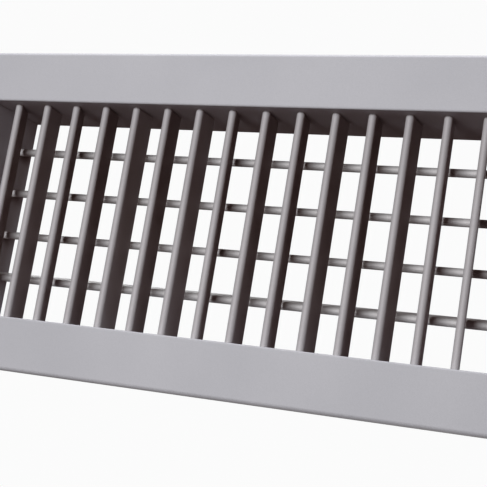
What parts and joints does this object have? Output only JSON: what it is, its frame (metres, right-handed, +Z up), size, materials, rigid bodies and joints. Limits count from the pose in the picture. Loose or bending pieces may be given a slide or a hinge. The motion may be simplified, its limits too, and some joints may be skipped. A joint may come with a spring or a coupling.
{
  "type": "louvred air grille",
  "caption": "Rectangular supply air grille: flanged neck frame with a row of upright front blades and a row of level rear blades, each turning on its own pins.",
  "frame": {"origin": "centre of the wall plane: the middle of the opening, on the back face of the foam gasket and the flange's rim", "axes": "+X along the grille's length, to the right as seen by someone facing the grille; +Y into the wall and duct; +Z up"},
  "size_m": [0.387, 0.048, 0.184],
  "materials": {
    "frame": "satin silver-grey coating",
    "blades": "satin silver-grey coating",
    "pins": "turned",
    "cleats": "zinc plated",
    "bushes": "moulded grey nylon",
    "gasket": "closed-cell foam"
  },
  "bodies": {
    "root": {"frame_top": "frame", "frame_bottom": "frame", "frame_left": "frame", "frame_right": "frame", "corner_cleats": "cleats", "foam_gasket": "gasket", "bushes_top": "bushes", "bushes_bottom": "bushes", "bushes_left": "bushes", "bushes_right": "bushes"},
    "front_vane_01": {"front_blade_01": "blades", "front_pins_01": "pins"},
    "front_vane_02": {"front_blade_02": "blades", "front_pins_02": "pins"},
    "front_vane_03": {"front_blade_03": "blades", "front_pins_03": "pins"},
    "front_vane_04": {"front_blade_04": "blades", "front_pins_04": "pins"},
    "front_vane_05": {"front_blade_05": "blades", "front_pins_05": "pins"},
    "front_vane_06": {"front_blade_06": "blades", "front_pins_06": "pins"},
    "front_vane_07": {"front_blade_07": "blades", "front_pins_07": "pins"},
    "front_vane_08": {"front_blade_08": "blades", "front_pins_08": "pins"},
    "front_vane_09": {"front_blade_09": "blades", "front_pins_09": "pins"},
    "front_vane_10": {"front_blade_10": "blades", "front_pins_10": "pins"},
    "front_vane_11": {"front_blade_11": "blades", "front_pins_11": "pins"},
    "front_vane_12": {"front_blade_12": "blades", "front_pins_12": "pins"},
    "front_vane_13": {"front_blade_13": "blades", "front_pins_13": "pins"},
    "front_vane_14": {"front_blade_14": "blades", "front_pins_14": "pins"},
    "front_vane_15": {"front_blade_15": "blades", "front_pins_15": "pins"},
    "front_vane_16": {"front_blade_16": "blades", "front_pins_16": "pins"},
    "rear_vane_1": {"rear_blade_1": "blades", "rear_pins_1": "pins"},
    "rear_vane_2": {"rear_blade_2": "blades", "rear_pins_2": "pins"},
    "rear_vane_3": {"rear_blade_3": "blades", "rear_pins_3": "pins"},
    "rear_vane_4": {"rear_blade_4": "blades", "rear_pins_4": "pins"}
  },
  "joints": [
    {"name": "front_vane_01_turn", "type": "hinge", "parent": "root", "child": "front_vane_01", "pos_m": [-0.15, 0.0045, 0], "axis": [0, 0, 1], "range_deg": [-58, 22]},
    {"name": "front_vane_02_turn", "type": "hinge", "parent": "root", "child": "front_vane_02", "pos_m": [-0.13, 0.0045, 0], "axis": [0, 0, 1], "range_deg": [-42, 38]},
    {"name": "front_vane_03_turn", "type": "hinge", "parent": "root", "child": "front_vane_03", "pos_m": [-0.11, 0.0045, 0], "axis": [0, 0, 1], "range_deg": [-58, 22]},
    {"name": "front_vane_04_turn", "type": "hinge", "parent": "root", "child": "front_vane_04", "pos_m": [-0.09, 0.0045, 0], "axis": [0, 0, 1], "range_deg": [-45, 35]},
    {"name": "front_vane_05_turn", "type": "hinge", "parent": "root", "child": "front_vane_05", "pos_m": [-0.07, 0.0045, 0], "axis": [0, 0, 1], "range_deg": [-34, 46]},
    {"name": "front_vane_06_turn", "type": "hinge", "parent": "root", "child": "front_vane_06", "pos_m": [-0.05, 0.0045, 0], "axis": [0, 0, 1], "range_deg": [-41, 39]},
    {"name": "front_vane_07_turn", "type": "hinge", "parent": "root", "child": "front_vane_07", "pos_m": [-0.03, 0.0045, 0], "axis": [0, 0, 1], "range_deg": [-36, 44]},
    {"name": "front_vane_08_turn", "type": "hinge", "parent": "root", "child": "front_vane_08", "pos_m": [-0.01, 0.0045, 0], "axis": [0, 0, 1], "range_deg": [-53, 27]},
    {"name": "front_vane_09_turn", "type": "hinge", "parent": "root", "child": "front_vane_09", "pos_m": [0.01, 0.0045, 0], "axis": [0, 0, 1], "range_deg": [-40, 40]},
    {"name": "front_vane_10_turn", "type": "hinge", "parent": "root", "child": "front_vane_10", "pos_m": [0.03, 0.0045, 0], "axis": [0, 0, 1], "range_deg": [-45, 35]},
    {"name": "front_vane_11_turn", "type": "hinge", "parent": "root", "child": "front_vane_11", "pos_m": [0.05, 0.0045, 0], "axis": [0, 0, 1], "range_deg": [-35, 45]},
    {"name": "front_vane_12_turn", "type": "hinge", "parent": "root", "child": "front_vane_12", "pos_m": [0.07, 0.0045, 0], "axis": [0, 0, 1], "range_deg": [-41, 39]},
    {"name": "front_vane_13_turn", "type": "hinge", "parent": "root", "child": "front_vane_13", "pos_m": [0.09, 0.0045, 0], "axis": [0, 0, 1], "range_deg": [-34, 46]},
    {"name": "front_vane_14_turn", "type": "hinge", "parent": "root", "child": "front_vane_14", "pos_m": [0.11, 0.0045, 0], "axis": [0, 0, 1], "range_deg": [-46, 34]},
    {"name": "front_vane_15_turn", "type": "hinge", "parent": "root", "child": "front_vane_15", "pos_m": [0.13, 0.0045, 0], "axis": [0, 0, 1], "range_deg": [-53, 27]},
    {"name": "front_vane_16_turn", "type": "hinge", "parent": "root", "child": "front_vane_16", "pos_m": [0.15, 0.0045, 0], "axis": [0, 0, 1], "range_deg": [-41, 39]},
    {"name": "rear_vane_1_turn", "type": "hinge", "parent": "root", "child": "rear_vane_1", "pos_m": [0, 0.024, -0.037], "axis": [1, 0, 0], "range_deg": [-58.5, 21.5]},
    {"name": "rear_vane_2_turn", "type": "hinge", "parent": "root", "child": "rear_vane_2", "pos_m": [0, 0.024, -0.0116], "axis": [1, 0, 0], "range_deg": [-48, 32]},
    {"name": "rear_vane_3_turn", "type": "hinge", "parent": "root", "child": "rear_vane_3", "pos_m": [0, 0.024, 0.0138], "axis": [1, 0, 0], "range_deg": [-47, 33]},
    {"name": "rear_vane_4_turn", "type": "hinge", "parent": "root", "child": "rear_vane_4", "pos_m": [0, 0.024, 0.0392], "axis": [1, 0, 0], "range_deg": [-49, 31]}
  ]
}
